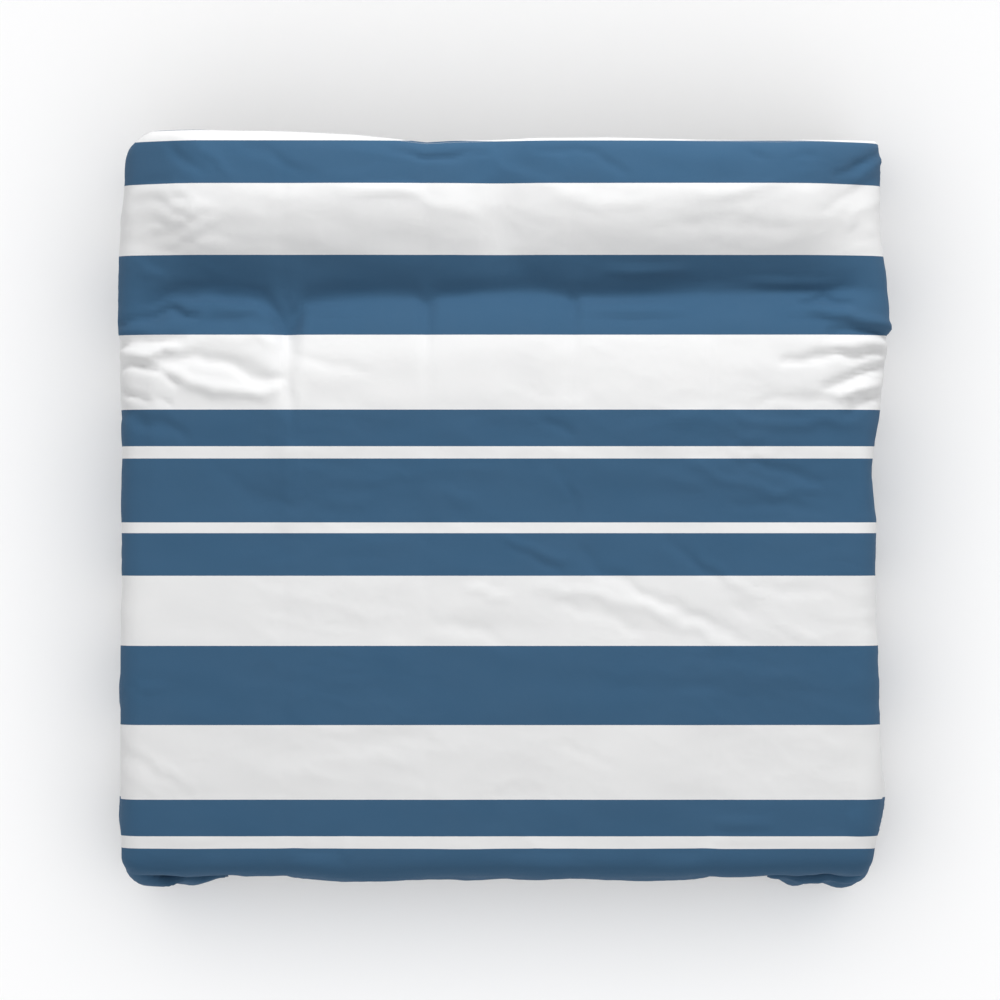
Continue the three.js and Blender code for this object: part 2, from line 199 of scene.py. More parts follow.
def baseSurface(u, v, folded=True):
    a = np.maximum(0, np.abs(u) - foldX)
    b = np.maximum(0, v - foldV)
    topY, topZ = alongBed(np.minimum(v, foldV))
    across = 1 - smooth(np.abs(u), pillow["flatHalf"], pillow["goneHalf"])
    between = bell(u, pillow["dipHalf"])
    share = across * (1 - between * pillow["dip"] / pillow["height"])
    outA, downA = roll(a)
    outB, downB = roll(b)
    x = np.minimum(np.abs(u), foldX) + outA
    y = topY - outB
    z = loft + (topZ - loft) * share - downA - downB
    both = (a > 0) & (b > 0)
    roundX, roundY, roundZ = roundCorner(a, b)
    if folded:
        foldedX, foldedY, foldedZ = foldedCorner(a, b)
        k = smooth(np.maximum(a, b), pleat["round"], pleat["folded"])
        roundX = roundX + (foldedX - roundX) * k
        roundY = roundY + (foldedY - roundY) * k
        roundZ = roundZ + (foldedZ - roundZ) * k
    x = np.where(both, roundX, x)
    y = np.where(both, roundY, y)
    z = np.where(both, roundZ, z)
    return np.stack([np.sign(u) * x, y, z], axis=-1)


def flatGrid(step, inset=0.0):
    halfWidth = duvet["width"] / 2 - inset
    length = duvet["length"] - 2 * inset
    us = np.linspace(-halfWidth, halfWidth, round(2 * halfWidth / step) + 1)
    vs = np.linspace(inset, inset + length, round(length / step) + 1)
    return us, vs


def crossed(us, vs):
    return np.meshgrid(us, vs, indexing="ij")


def gridQuads(nu, nv):
    i, j = np.meshgrid(np.arange(nu - 1), np.arange(nv - 1), indexing="ij")
    a = (i * nv + j).ravel()
    return np.stack([a, a + 1, a + nv + 1, a + nv], axis=1)


def added(name, data):
    made = bpy.data.objects.new(name, data)
    bpy.context.scene.collection.objects.link(made)
    return made


def newPiece(name, points, quads):
    mesh = bpy.data.meshes.new(name)
    mesh.from_pydata(points.reshape(-1, 3).tolist(), [], quads.tolist())
    mesh.update()
    return added(name, mesh)


# The drape: a flat sheet settles over the bed and its pillows under gravity.

drape = {
    "step": 0.02,
    "slack": 1.010,
    "quickStep": 0.04,
    "frames": 26,
    "cornerHeld": (0.50, 0.62),  # across the bed, from free to held
    "footHeld": (-0.10, -0.02),  # along it, before the foot's fold
    "hemHeld": (0.09, 0.03),  # from the foot hem
    "hemEnd": (0.9, 1.0),
    "lift": 0.006,
    "noise": 0.004,
    "seed": 7,
    "cloth": {
        "quality": 6, "mass": 0.25, "tension_stiffness": 15, "compression_stiffness": 15,
        "shear_stiffness": 4, "bending_stiffness": 1.2, "tension_damping": 15,
        "compression_damping": 15, "shear_damping": 10, "air_damping": 2,
        "vertex_group_mass": "held",
    },
    "formStep": 0.02,
    "formBelow": 0.003,
    "formEdge": (0.12, -0.05),  # how far it runs on past the head edge, and down
    "formShare": 0.996,  # the form is this much narrower than the sheet it carries
}


def smoothNoise(u, v, size, seed):
    random = np.random.default_rng(seed)
    total = np.zeros(np.broadcast(u, v).shape)
    for _ in range(24):
        angle = random.uniform(0, 2 * math.pi)
        k = 2 * math.pi / (size * random.uniform(0.7, 1.6))
        phase = random.uniform(0, 2 * math.pi)
        total += np.sin(k * (u * math.cos(angle) + v * math.sin(angle)) + phase)
    return total / math.sqrt(12)


def heldShare(u, v):
    corner = smooth(np.abs(u), *drape["cornerHeld"]) * smooth(v - foldV, *drape["footHeld"])
    far, near = (duvet["length"] - place for place in drape["hemHeld"])
    hem = smooth(v, far, near) * (1 - smooth(np.abs(u), *drape["hemEnd"]))
    return np.maximum(corner, hem)


def simulateDrape():
    us, vs = flatGrid(drape["step"])
    u, v = crossed(us, vs)
    start = baseSurface(u, v)
    held = heldShare(u, v)
    lifted = start.copy()
    lifted[..., 2] += (1 - held) * (drape["lift"] + drape["noise"] * smoothNoise(u, v, 0.3, drape["seed"]))
    cloth = newPiece("drapingCloth", lifted, gridQuads(len(us), len(vs)))
    flat = np.stack([u, -v, 0 * u], axis=-1) * drape["slack"]
    cloth.shape_key_add(name="draped")
    restKey = cloth.shape_key_add(name="flat")
    restKey.data.foreach_set("co", flat.astype(np.float32).ravel())
    group = cloth.vertex_groups.new(name="held")
    for index, weight in enumerate(held.ravel()):
        if weight > 0.5:
            group.add([index], 1.0, "REPLACE")
    form = newPiece("bedForm", *formUnder())
    form.modifiers.new("collide", "COLLISION")
    form.collision.thickness_outer = 0.002
    form.collision.cloth_friction = 30
    form.collision.damping = 0.6
    modifier = cloth.modifiers.new("drape", "CLOTH")
    for name, value in drape["cloth"].items():
        setattr(modifier.settings, name, value)
    modifier.settings.rest_shape_key = restKey
    modifier.collision_settings.distance_min = 0.002
    modifier.collision_settings.collision_quality = 3
    modifier.point_cache.frame_end = drape["frames"]
    scene = bpy.context.scene
    for number in range(1, drape["frames"] + 1):
        scene.frame_set(number)
    settled = cloth.evaluated_get(bpy.context.evaluated_depsgraph_get())
    points = np.zeros(len(cloth.data.vertices) * 3, np.float32)
    settled.data.vertices.foreach_get("co", points)
    points = points.reshape(start.shape).astype(float)
    scene.frame_set(1)
    bpy.data.objects.remove(cloth)
    bpy.data.objects.remove(form)
    return us, vs, points - start


def formUnder():
    us, vs = flatGrid(drape["formStep"])
    u, v = crossed(us, vs)
    points = baseSurface(u, v, folded=False)
    over = points[:, :1].copy()
    over[..., 1:] += drape["formEdge"]
    points = np.concatenate([over, points], axis=1)
    points[..., 2] -= drape["formBelow"]
    points[..., :2] *= drape["formShare"]
    return points, gridQuads(len(us), len(vs) + 1)


def cellAt(us, vs, u, v):
    fi = np.clip((u - us[0]) / (us[1] - us[0]), 0, len(us) - 1.001)
    fj = np.clip((v - vs[0]) / (vs[1] - vs[0]), 0, len(vs) - 1.001)
    i, j = fi.astype(int), fj.astype(int)
    return i, j, fi - i, fj - j


def resampled(field, us, vs, u, v):
    i, j, s, t = cellAt(us, vs, u, v)

    def weights(x):
        return [
            -0.5 * x ** 3 + x ** 2 - 0.5 * x,
            1.5 * x ** 3 - 2.5 * x ** 2 + 1,
            -1.5 * x ** 3 + 2 * x ** 2 + 0.5 * x,
            0.5 * x ** 3 - 0.5 * x ** 2,
        ]

    total = 0
    for di, wu in zip((-1, 0, 1, 2), weights(s[..., None])):
        for dj, wv in zip((-1, 0, 1, 2), weights(t[..., None])):
            ii = np.clip(i + di, 0, len(us) - 1)
            jj = np.clip(j + dj, 0, len(vs) - 1)
            total = total + wu * wv * field[ii, jj]
    return total


print("draping the sheet")
drapeU, drapeV, drapeMove = simulateDrape()


# Shader expressions: a Signal is a socket that takes part in sums, and a Board makes any other node.

def operator(operation, swapped=False):
    def act(self, other):
        values = {0: other, 1: self} if swapped else {0: self, 1: other}
        return self.board.node("ShaderNodeMath", {"operation": operation}, values)
    return act


class Signal:
    def __init__(self, board, socket):
        self.board = board
        self.socket = socket

    __add__ = __radd__ = operator("ADD")
    __mul__ = __rmul__ = operator("MULTIPLY")
    __sub__ = operator("SUBTRACT")
    __rsub__ = operator("SUBTRACT", swapped=True)
    __truediv__ = operator("DIVIDE")
    __mod__ = operator("FLOORED_MODULO")


class Board:
    def __init__(self, tree):
        self.tree = tree

    def node(self, kind, settings=None, sockets=None, output=0):
        made = self.tree.nodes.new(kind)
        for key, value in (settings or {}).items():
            if key == "bands":
                self.setBands(made.color_ramp, value)
            else:
                setattr(made, key, value)
        for key, value in (sockets or {}).items():
            self.feed(made.inputs[key], value)
        return Signal(self, made.outputs[output])

    def feed(self, socket, value):
        if isinstance(value, Signal):
            self.tree.links.new(value.socket, socket)
        else:
            socket.default_value = value

    def setBands(self, ramp, bands):
        ramp.interpolation = "CONSTANT"
        while len(ramp.elements) < len(bands):
            ramp.elements.new(0.5)
        for element, (place, tone) in zip(ramp.elements, bands):
            element.position = place
            element.color = tone

    def place(self):
        return self.node("ShaderNodeTexCoord", {}, {}, "Object")

    def axis(self, vector, number):
        return self.node("ShaderNodeSeparateXYZ", {}, {0: vector}, number)

    def mix(self, share, first, second):
        return self.node("ShaderNodeMix", {"data_type": "RGBA"}, {0: share, 6: first, 7: second}, 2)

    def maths(self, operation, value):
        return self.node("ShaderNodeMath", {"operation": operation}, {0: value})

    def noise(self, vector, scale, detail=2.0, distortion=0.0):
        sockets = {"Vector": vector, "Scale": scale, "Detail": detail, "Distortion": distortion}
        return self.node("ShaderNodeTexNoise", {}, sockets, "Fac")

    def ridges(self, vector, scale, detail=2.0):
        return 1 - self.maths("ABSOLUTE", self.noise(vector, scale, detail, 0.6) - 0.5) * 4

    def stretched(self, vector, scale):
        return self.node("ShaderNodeMapping", {}, {"Vector": vector, "Scale": scale})

    def bump(self, height, strength=1.0):
        sockets = {"Strength": strength, "Distance": 1.0, "Height": height}
        return self.node("ShaderNodeBump", {}, sockets, "Normal")


class Finish(Board):
    def __init__(self, name):
        self.material = bpy.data.materials.new(name)
        self.material.use_nodes = True
        super().__init__(self.material.node_tree)

    def finish(self, **sockets):
        shader = self.tree.nodes["Principled BSDF"]
        for key, value in sockets.items():
            self.feed(shader.inputs[key.replace("_", " ")], value)
        return self.material


def colour(red, green, blue):
    def linear(x):
        return x / 12.92 if x <= 0.04045 else ((x + 0.055) / 1.055) ** 2.4
    return (linear(red), linear(green), linear(blue), 1.0)


weave = {
    "threads": 0.0009,  # spacing of the threads
    "depth": 0.00012,
    "creaseDepth": 0.0010,
}


def clothBump(board, flat, creases=1.0, threads=weave["threads"]):
    turns = 2 * math.pi / threads
    across, along = board.axis(flat, 0), board.axis(flat, 1)
    crossing = board.maths("SINE", across * turns) * board.maths("SINE", along * turns)
    soft = board.noise(board.stretched(flat, (7, 11, 1)), 1.0, 3.0, 0.5)
    fine = board.ridges(board.stretched(flat, (14, 26, 1)), 1.0, 3.0)
    lean = board.ridges(board.stretched(flat, (30, 19, 1)), 1.0, 2.0)
    patch = board.noise(board.stretched(flat, (3, 4, 1)), 1.0, 1.0)
    folds = (soft * 0.7 + fine * patch * 0.5 + lean * patch * 0.25) * weave["creaseDepth"] * creases
    return board.bump(folds + crossing * weave["depth"]), crossing


# The print: eight bands that repeat down the cover, blue first.

printed = {
    "headRim": 0.029,
    "lastBlue": 2.05,  # the print stays blue from here to the foot hem
    "bands": [0.1113, 0.1854, 0.2103, 0.1964, 0.0956, 0.033, 0.1685, 0.0309],
    "blue": colour(0.190, 0.346, 0.470),
    "white": colour(0.918, 0.918, 0.918),
    "shade": colour(0.20, 0.30, 0.41),
    "bleed": 0.0012,
}


def printedCotton():
    board = Finish("printedCotton")
    flat = board.node("ShaderNodeUVMap", {"uv_map": "cloth"})
    at = board.node("ShaderNodeAttribute", {"attribute_name": "printAt"}, {}, "Fac")
    repeat = sum(printed["bands"])
    starts = np.cumsum([0] + printed["bands"][:-1]) / repeat
    tones = [printed["blue"], printed["white"]] * (len(starts) // 2)
    bleed = (board.noise(flat, 900.0, 1.0) - 0.5) * printed["bleed"]
    place = ((at + bleed - printed["headRim"]) % repeat) / repeat
    striped = board.node("ShaderNodeValToRGB", {"bands": list(zip(starts, tones))}, {0: place})
    bump, crossing = clothBump(board, flat)
    worn = board.noise(flat, 5.0, 3.0) * 0.010 + board.noise(flat, 420.0, 1.0) * 0.016 + crossing * 0.006
    shaded = board.mix(worn, striped, (1.0, 1.0, 1.0, 1.0))
    shaded = board.mix(board.noise(flat, 2.3, 2.0) * 0.08, shaded, printed["shade"])
    rough = 0.78 + board.noise(flat, 30.0, 2.0) * 0.14
    return board.finish(
        Base_Color=shaded, Roughness=rough, Normal=bump, Sheen_Weight=0.04, Sheen_Roughness=0.5,
        Specular_IOR_Level=0.15,
    )


def plainCotton(name, tone, creases=1.0, threads=weave["threads"]):
    board = Finish(name)
    flat = board.node("ShaderNodeUVMap", {"uv_map": "cloth"})
    bump, crossing = clothBump(board, flat, creases, threads)
    share = board.noise(flat, 6.0, 3.0) * 0.10 + crossing * 0.03
    shaded = board.mix(share, tone, deeper(tone, 0.8))
    rough = 0.8 + board.noise(flat, 40.0, 2.0) * 0.12
    return board.finish(
        Base_Color=shaded, Roughness=rough, Normal=bump, Sheen_Weight=0.15, Sheen_Roughness=0.5,
        Specular_IOR_Level=0.25,
    )


def deeper(tone, share):
    return tuple(share * x for x in tone[:3]) + (1.0,)


def fibreFinish(name, tone, grain, depth):
    board = Finish(name)
    place = board.place()
    fibres = board.noise(place, grain, 4.0, 1.2)
    shaded = board.mix(fibres * 0.35, tone, deeper(tone, 0.72))
    return board.finish(
        Base_Color=shaded, Roughness=0.8 + fibres * 0.15, Normal=board.bump(fibres * depth),
        Sheen_Weight=0.2, Specular_IOR_Level=0.2,
    )


def zipTapeFinish():
    board = Finish("zipTapeWeave")
    place = board.place()
    across, rise = board.axis(place, 0), board.axis(place, 2)
    ribs = board.maths("SINE", (across + rise * 0.8) * (2 * math.pi / 0.0011))
    fibres = board.noise(place, 1500.0, 4.0, 1.2)
    shaded = board.mix(fibres * 0.25 + ribs * 0.06, colour(0.90, 0.90, 0.89), colour(0.72, 0.72, 0.71))
    bump = board.bump(ribs * 0.00006 + fibres * 0.0001)
    return board.finish(Base_Color=shaded, Roughness=0.8 + fibres * 0.15, Normal=bump, Sheen_Weight=0.2)


def nickel():
    board = Finish("nickelPlate")
    place = board.place()
    wear = board.noise(place, 260.0, 4.0)
    fine = board.noise(board.stretched(place, (900, 2600, 2600)), 1.0, 3.0)
    shaded = board.mix(wear * 0.4, colour(0.80, 0.80, 0.81), colour(0.66, 0.65, 0.63))
    bump = board.bump(fine * 0.00004, 0.4)
    return board.finish(Base_Color=shaded, Metallic=1.0, Roughness=0.22 + wear * 0.2, Normal=bump)


def coilNylon():
    board = Finish("coilNylon")
    place = board.place()
    cloudy = board.noise(place, 700.0, 2.0)
    shaded = board.mix(cloudy * 0.3, colour(0.90, 0.90, 0.89), colour(0.80, 0.80, 0.79))
    return board.finish(Base_Color=shaded, Roughness=0.35 + cloudy * 0.15, Specular_IOR_Level=0.5)


print("making materials")
finishes = {
    "print": printedCotton(),
    "white": plainCotton("whiteCotton", colour(0.915, 0.915, 0.912)),
    "casing": plainCotton("casingCotton", colour(0.95, 0.945, 0.93), 0.6, 0.0007),
    "binding": plainCotton("bindingCotton", colour(0.93, 0.92, 0.90), 0.3, 0.0012),
    "tape": plainCotton("twillTape", colour(0.90, 0.89, 0.87), 0.2, 0.0014),
    "label": plainCotton("labelSatin", colour(0.95, 0.95, 0.94), 0.15, 0.0005),
    "wadding": fibreFinish("wadding", colour(0.96, 0.955, 0.94), 90.0, 0.0025),
    "thread": fibreFinish("sewingThread", colour(0.90, 0.90, 0.89), 2500.0, 0.0001),
    "zipTape": zipTapeFinish(),
    "coil": coilNylon(),
    "nickel": nickel(),
}


# Relief of the cover's upper side, on top of the drape. Places on the bed are x from its middle and y
# towards the head, in metres where nothing else is said.

def sample(field, u, v):
    i, j, s, t = cellAt(gridU, gridV, u, v)
    if field.ndim == 3:
        s, t = s[..., None], t[..., None]
    low = field[i, j] * (1 - t) + field[i, j + 1] * t
    high = field[i + 1, j] * (1 - t) + field[i + 1, j + 1] * t
    return low * (1 - s) + high * s


def edgeDistance(u, v):
    return np.minimum(np.minimum(duvet["width"] / 2 - np.abs(u), v), duvet["length"] - v)


def pressedFlat(u, v):
    a = np.maximum(0, np.abs(u) - foldX)
    b = np.maximum(0, v - foldV)
    share = smooth(np.abs(u), pleat["from"], pleat["to"]) * smooth(v - foldV, -0.10, 0)
    return share * smooth(np.maximum(a, b), 0, pleat["deep"])


zipper = {
    "halfLength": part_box("zip_tape_face")[1].x,
    "openHalf": 0.006,
    "margin": 0.02,
    "blend": 0.06,
    "hem": (0.05, 0.03),  # the hem opens to the zip over this much, from the foot edge
    "softEdge": 0.00018,
}


def rounded(inward, width):
    t = np.clip(inward / width, 0, 1)
    return (1 - (1 - t) ** duvet["roundness"]) ** (1 / duvet["roundness"])


def coverLoft(u, v):
    full = duvet["seam"] + (loft - duvet["seam"]) * rounded(edgeDistance(u, v), duvet["crown"])
    full = full * (1 - (1 - pleat["loft"] / loft) * pressedFlat(u, v))
    openEnd = zipper["halfLength"] + zipper["margin"]
    atZip = 1 - smooth(np.abs(u), openEnd, openEnd + zipper["blend"])
    far, near = (duvet["length"] - place for place in zipper["hem"])
    atZip = atZip * smooth(v, far, near)
    return np.maximum(full, zipper["openHalf"] * atZip)


def stitchDistance(u, v):
    column = u / columnWidth - 0.5
    row = v / rowLength
    fromColumn = np.abs(column - np.round(column)) * columnWidth
    fromRow = np.abs(row - np.round(row)) * rowLength
    fromRow = np.where((row < 0.5) | (row > duvet["rows"] - 0.5), 1.0, fromRow)
    fromColumn = np.where(np.abs(u) > duvet["width"] / 2 - columnWidth / 2, 1.0, fromColumn)
    return fromColumn, fromRow


creases = [  # width and height in mm (below zero for a groove), then x and y of each place in cm
    (13, -15, -99, 37.5, -90, 40, -80, 41.5),
    (14, 10.2, -92, 42, -83, 44, -69, 43, -60, 40),
    (18, -5, -79, 38.5, -65, 39),
    (12, -13.7, -102, 33.5, -92, 33.5, -83, 34.5),
    (9, 13.6, -99, 30, -92, 30, -85, 31.5),
    (19, -13.7, -88, 28, -79, 29.5, -70, 28, -64, 24, -57, 23.5),
    (11, -15, -102, 27, -95, 27, -88, 25.5, -85, 22.5),
    (16, 11.9, -88, 25.5, -81, 22.5, -70, 20, -58, 19.5),
    (16, 5, -74, 34, -63, 35, -57, 32),
    (12, -12.5, -103, 21.5, -95, 19.5, -87, 17),
    (9, 10.2, -97, 21, -92, 19, -88, 16),
    (16, -7.5, -102, 15, -92, 12.5, -83, 8.5),
    (14, -7, -55, 44.5, -55, 31.5, -55, 15.5, -54, 7.5),
    (16, -4, -53, 29.5, -45, 27, -34, 25.5),
    (12, -15, 79, 43.5, 86, 44.5, 93, 43.5),
    (12, 13.6, 81, 42.5, 92, 40.5, 103, 37),
    (12, -13.7, 103, 35, 93, 36.5, 87, 36),
    (13, -12.5, 101, 31.5, 92, 29.5, 83, 29.5, 75, 27.5),
    (11, 10.2, 102, 31, 96, 32.5, 90, 32.5),
    (12, -15, 101, 28, 93, 24, 86, 20.5),
    (9, 15.3, 99, 22.5, 94, 20.5, 89, 19.5),
    (12, -10, 102, 20, 96, 17.5, 92, 14),
    (14, -5, 69, 17.5, 80, 18.5, 88, 17.5),
    (16, 5.1, 64, 12.5, 80, 11.5, 93, 12.5),
    (14, 4.5, 2, -18.5, 10, -22.5, 18, -24.5),
    (12, -4.5, 4, -21, 11, -24.5, 17, -28),
    (18, -6, 22, -22.5, 27, -27, 38, -33, 51, -39, 65, -46),
    (18, 5, 11, -31.5, 27, -34, 38, -36.5, 51, -42.5, 61, -46),
    (16, -3.5, 16, -36, 27, -38, 38, -43),
    (16, -5.5, 45, -19.5, 51, -24, 58, -29.5),
    (14, 4.5, 53, -23.5, 60, -29.5, 69, -34),
    (16, -3.5, 68, -32, 80, -32.5, 88, -33),
    (14, -3.5, 63, -36.5, 71, -41, 80, -45.5),
    (13, 3.5, 67, -39, 76, -43, 84, -46),
    (14, -6, 63, 1.5, 72, 0, 85, -3.5),
    (15, 5, 51, 1.5, 59, -3, 72, -6, 84, -5.5),
    (14, -3.5, 61, -9.5, 75, -10, 85, -11.5),
    (18, 3, 43, -3, 53, -4),
    (18, 3, -14, -7, -6, -8.5),
    (10, -4, 16, -0.5, 20, -8.5, 20, -16.5),
    (18, -3, -18, -40.5, -5, -43, 6, -48),
    (22, 2.5, 27, -54, 53, -53, 80, -56),
    (20, -2.5, 32, -59, 53, -57.5, 77, -61.5),
    (12, -5, 11, 12.5, 16, 11.5, 20, 7.5),
    (20, 3, 38, 11.5, 53, 13.5, 69, 10.5),
    (20, 2.5, -53, -0.5, -37, -3, -21, -2),
    (24, -2.5, -74, -0.5, -63, -8.5, -45, -11),
    (11, 2.1, -99, -69.5, -95, -74, -87, -80, -80, -85.5),
    (10, -2.4, -99, -73, -94, -78.5, -85, -84.5),
    (10, 1.8, -99, -78, -95, -82.5, -89, -88),
    (11, -3, -98, -102, -90, -104.5, -79, -103.5),
    (11, 2.4, -92, -106, -79, -104.5, -66, -105.5),
    (20, 3, 16, -104.5, 38, -103.5, 53, -105),
    (25, -2, -53, -71, -37, -73.5, -21, -72),
    (14, -2.5, 16, -73.5, 24, -75.5, 30, -78.5),
    (11, -10.8, -28, 84.5, -18, 84, -3, 84.5),
    (10, -9.6, 11, 85, 19, 85, 27, 85),
    (8, -7.2, 0, 87.5, 1, 84.5),
    (14, -5.4, -69, 87, -63, 84, -53, 78.5),
    (12, -6, -87, 86, -83, 82, -78, 77.5),
    (12, 4.8, -80, 86.5, -75, 82, -70, 77.5),
    (13, -5.5, 25, 84, 28, 80.5, 33, 77.5),
    (9, -6, 63, 85.5, 66, 84.5, 70, 83),
    (9, -4.8, 76, 82.5, 79, 83.5, 83, 84),
    (12, -9.6, 88, 77, 94, 81.5, 101, 87),
    (10, 6, 93, 76, 97, 79.5, 101, 84),
    (14, 3.5, 53, 71, 64, 73, 74, 76),
    (13, -4, 85, 68.5, 92, 72, 98, 76.5),
    (12, 3.5, 90, 64, 95, 68, 99, 71.5),
    (20, 3.5, -26, 73.5, -18, 69.5, -8, 68),
    (20, 3, 16, 72, 27, 69.5, 38, 70),
    (18, -3, 43, 64, 59, 65, 75, 63),
    (18, 3.5, 0, 81.5, 6, 76.5, 16, 75),
    (20, 2.5, -92, 69.5, -79, 67, -63, 67.5),
    (14, 4, -95, 54.5, -92, 52, -88, 51),
    (12, -5, -98, 75, -99, 69.5, -99, 63),
]

valley = {  # the trough where the duvet comes off the pillows, and the full lip past it
    "depth": 0.0125,
    "headSide": 0.042,
    "rise": 0.060,
    "lip": 0.042,
    "lipFrom": 0.12,
    "lipTo": 0.60,
    "line": [
        (-1.02, 0.365), (-1.01, 0.38), (-0.95, 0.4), (-0.91, 0.415), (-0.87, 0.445),
        (-0.83, 0.46), (-0.74, 0.465), (-0.66, 0.455), (-0.61, 0.435), (-0.58, 0.39),
        (-0.56, 0.355), (-0.53, 0.39), (-0.51, 0.43), (-0.43, 0.45), (-0.31, 0.455),
        (-0.22, 0.45), (-0.19, 0.425), (-0.16, 0.45), (-0.05, 0.46), (0.11, 0.465), (0.17, 0.455),
        (0.2, 0.435), (0.22, 0.455), (0.38, 0.465), (0.64, 0.47), (0.88, 0.47),
        (0.93, 0.475), (1.01, 0.465), (1.06, 0.455)
    ],
}


def strokeShape(x, y, places, width):
    best = np.full(x.shape, 1e9)
    along = np.zeros(x.shape)
    spans = [math.dist(a, b) for a, b in zip(places, places[1:])]
    done = 0.0
    for (x0, y0), (x1, y1), span in zip(places, places[1:], spans):
        share = ((x - x0) * (x1 - x0) + (y - y0) * (y1 - y0)) / span ** 2
        share = np.clip(share, 0, 1)
        far = np.hypot(x - x0 - share * (x1 - x0), y - y0 - share * (y1 - y0))
        along = np.where(far < best, (done + share * span) / sum(spans), along)
        best = np.minimum(best, far)
        done += span
    taper = width * (0.55 + 0.45 * np.sin(math.pi * (0.15 + 0.7 * along)))
    strength = 0.35 + 0.65 * np.sin(math.pi * (0.12 + 0.76 * along))
    return strength * bell(best, taper)


def creaseRelief(x, y):
    wander = 0.004
    wx = x + wander * smoothNoise(x, y, 0.10, 21)
    wy = y + wander * smoothNoise(x, y, 0.08, 22)
    total = np.zeros(x.shape)
    for width, height, *numbers in creases:
        xs, ys = np.array(numbers[::2]) / 100, np.array(numbers[1::2]) / 100
        near = (wx > min(xs) - 0.08) & (wx < max(xs) + 0.08) & (wy > min(ys) - 0.08) & (wy < max(ys) + 0.08)
        shape = strokeShape(wx[near], wy[near], list(zip(xs, ys)), width / 1000)
        total[near] += height / 1000 * shape
    return total


def valleyRelief(x, y):
    xs, ys = zip(*valley["line"])
    behind = np.interp(x, xs, ys) - y
    depth, lip = valley["depth"], valley["lip"]
    ahead = np.maximum(behind, 0)
    rise = (1 - np.exp(-ahead / valley["rise"])) * (depth + lip)
    settle = smooth(ahead, valley["lipFrom"], valley["lipTo"])
    footSide = (rise - depth) * (1 - settle)
    headSide = -depth * bell(behind, valley["headSide"])
    share = 1 - smooth(np.abs(x), 0.90, 1.0)
    return np.where(behind > 0, footSide, headSide) * share


def ridged(x, y, size, seed):
    return 1 - 2 * np.abs(np.tanh(1.2 * smoothNoise(x, y, size, seed)))


relief = {
    "pull": 0.0014,  # how deep the quilting's columns show, and how much deeper after the trough
    "pullMore": 0.0026,
    "pullMoreAt": 0.22,
    "pullMoreSpread": 0.20,
    "pullHalf": 0.018,
    "rowPull": 0.0010,
    "rowHalf": 0.022,
    "puff": 0.0016,
    "smallPuff": 0.0006,
    "wrinkle": 0.0007,
    "smallWrinkle": 0.0004,
    "hang": 0.0026,  # folds down the hanging sides and foot
    "footShare": 0.8,
    "rim": 0.07,
    "pressedFade": 0.75,
}


def coverRelief(u, v):
    x = u
    y = np.where(v <= foldV, alongBed(v)[0], foldY - (v - foldV))
    fromColumn, fromRow = stitchDistance(u, v)
    pulled = relief["pull"] + relief["pullMore"] * bell(y - relief["pullMoreAt"], relief["pullMoreSpread"])
    quilting = -pulled * bell(fromColumn, relief["pullHalf"])
    quilting -= relief["rowPull"] * bell(fromRow, relief["rowHalf"])
    puff = relief["puff"] * smoothNoise(x, y, 0.42, 41)
    puff += relief["smallPuff"] * smoothNoise(x, y * 1.6, 0.17, 42)
    calm = smooth(smoothNoise(x, y, 0.8, 43), -1.4, 1.2)
    fine = relief["wrinkle"] * ridged(x + 0.5 * y, 1.9 * y, 0.20, 44) * calm
    fine += relief["smallWrinkle"] * ridged(x - 0.5 * y, 1.5 * y, 0.09, 45) * calm
    sideDepth, footDepth = np.maximum(0, np.abs(u) - foldX), np.maximum(0, v - foldV)
    hang = smoothNoise(y, 0.25 * sideDepth, 0.13, 61) * smooth(sideDepth, 0.03, 0.22)
    hang += relief["footShare"] * smoothNoise(u, 0.25 * footDepth, 0.15, 62) * smooth(footDepth, 0.03, 0.18)
    hang *= relief["hang"]
    total = quilting + puff + fine + hang + creaseRelief(x, y) + valleyRelief(x, y)
    fade = smooth(edgeDistance(u, v), 0.0, relief["rim"]) * (1 - relief["pressedFade"] * pressedFlat(u, v))
    return total * fade


backSide = {"pull": 0.0016, "rowPull": 0.0012, "wrinkle": 0.0007, "puff": 0.0008, "pressedFade": 0.8}


def backRelief(u, v):
    fromColumn, fromRow = stitchDistance(u, v)
    quilting = -backSide["pull"] * bell(fromColumn, relief["pullHalf"])
    quilting -= backSide["rowPull"] * bell(fromRow, relief["pullHalf"])
    wrinkle = backSide["wrinkle"] * ridged(u + 0.4 * v, 1.6 * v, 0.16, 71)
    wrinkle += backSide["puff"] * smoothNoise(u, v, 0.25, 72)
    fade = smooth(edgeDistance(u, v), 0.0, relief["rim"]) * (1 - backSide["pressedFade"] * pressedFlat(u, v))
    return (quilting + wrinkle) * fade


sideShape = {  # how far each side stands out from a straight drop, by place along the bed
    "left": [(-1.12, 0.004), (-1.04, 0.004), (-0.95, 0.004), (-0.8, 0.003), (-0.3, 0.0), (0.20, 0.001),
             (0.34, 0.004), (0.45, 0.008), (0.64, 0.0), (0.80, -0.012), (0.90, -0.012)],
    "right": [(-1.12, 0.000), (-1.04, -0.004), (-0.88, 0.020), (-0.6, 0.010), (-0.45, 0.006),
              (-0.25, 0.0), (-0.15, 0.002), (-0.02, -0.010), (0.08, 0.004), (0.15, 0.016), (0.30, 0.029),
              (0.42, 0.036), (0.60, 0.012), (0.90, 0.012)],
}

